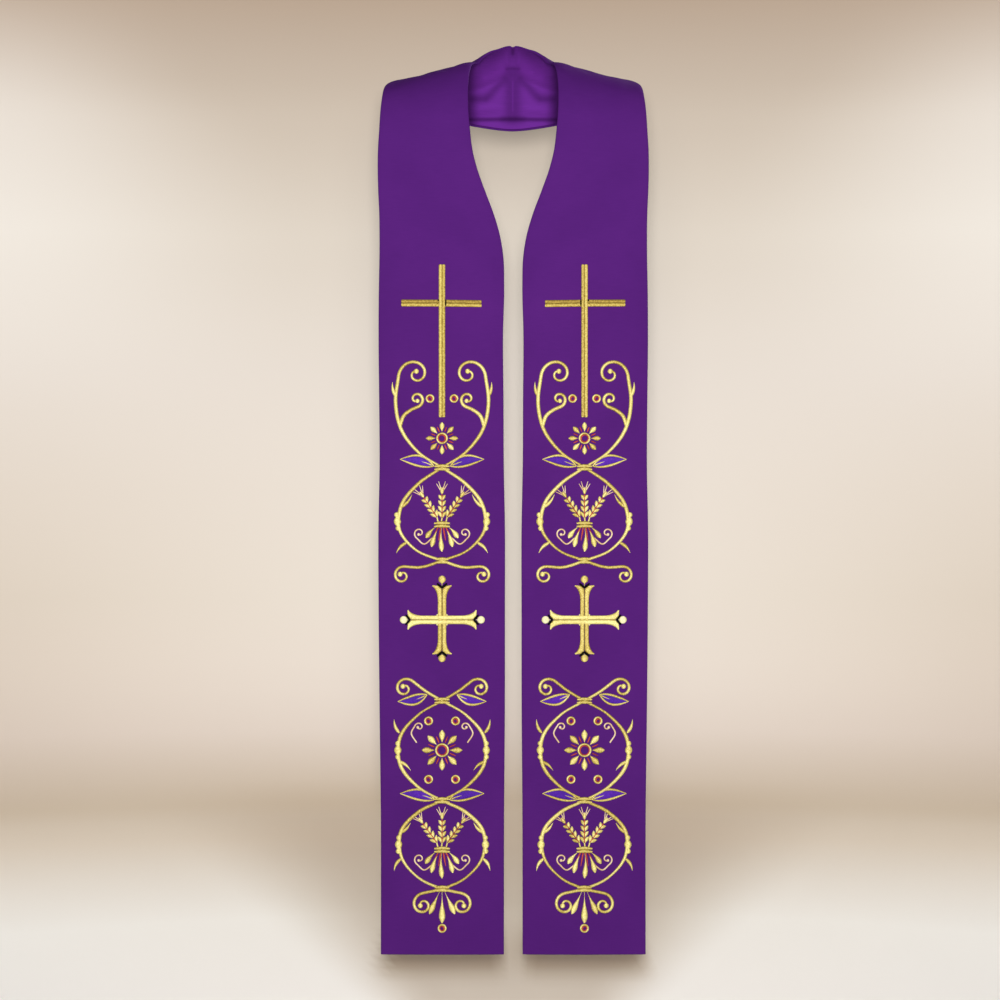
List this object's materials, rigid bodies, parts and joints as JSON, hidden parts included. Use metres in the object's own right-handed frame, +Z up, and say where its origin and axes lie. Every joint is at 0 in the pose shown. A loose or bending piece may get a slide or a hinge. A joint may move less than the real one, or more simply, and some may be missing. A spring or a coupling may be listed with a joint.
{
  "type": "clerical stole",
  "caption": "Lined cloth band worn round the neck and over both shoulders, hanging in long front panels that carry padded crosses.",
  "frame": {"origin": "on the lining at the nape, at the centre-back seam, where the back of the wearer's neck holds the stole", "axes": "+Z up along the hanging panels; -Y is the way the front faces and the way the lining faces at the nape; +X is the wearer's left, the viewer's right"},
  "size_m": [0.3618, 0.1592, 1.2342],
  "materials": {
    "face_cloth": "matt purple crepe",
    "lining_satin": "soft purple satin",
    "gold_thread": "lustrous gold embroidery thread"
  },
  "bodies": {
    "root": {"face_left": "face_cloth", "face_right": "face_cloth", "lining_left": "lining_satin", "lining_right": "lining_satin", "latin_cross_left": "gold_thread", "latin_cross_right": "gold_thread", "greek_cross_left": "gold_thread", "greek_cross_right": "gold_thread"}
  },
  "joints": []
}
